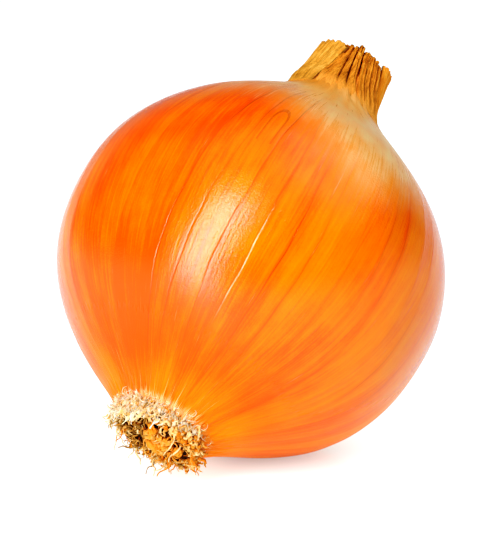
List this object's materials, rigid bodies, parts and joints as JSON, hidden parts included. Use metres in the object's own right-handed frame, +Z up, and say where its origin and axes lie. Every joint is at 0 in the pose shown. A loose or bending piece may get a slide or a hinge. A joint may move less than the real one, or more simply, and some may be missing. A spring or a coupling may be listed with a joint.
{
  "type": "onion",
  "caption": "Globe-shaped yellow onion lying on its side, with a dry papery skin, the cut stubs of its dried leaves round the neck and a tuft of dried roots.",
  "frame": {"origin": "bottom centre of the bounding box, on the plane the onion rests on", "axes": "+Z up, away from the surface it rests on; the onion lies on its side with its neck leaning up and towards +X and its roots down towards -X; Y is the short way across"},
  "size_m": [0.0834, 0.081, 0.0832],
  "materials": {
    "onion_skin": "satin",
    "dried_leaf": "matte",
    "dried_roots": "matte"
  },
  "bodies": {
    "root": {"bulb": "onion_skin", "leaf_stub_left": "dried_leaf", "leaf_stub_front": "dried_leaf", "leaf_stub_pleated": "dried_leaf", "leaf_stub_back": "dried_leaf", "root_tuft": "dried_roots"}
  },
  "joints": []
}
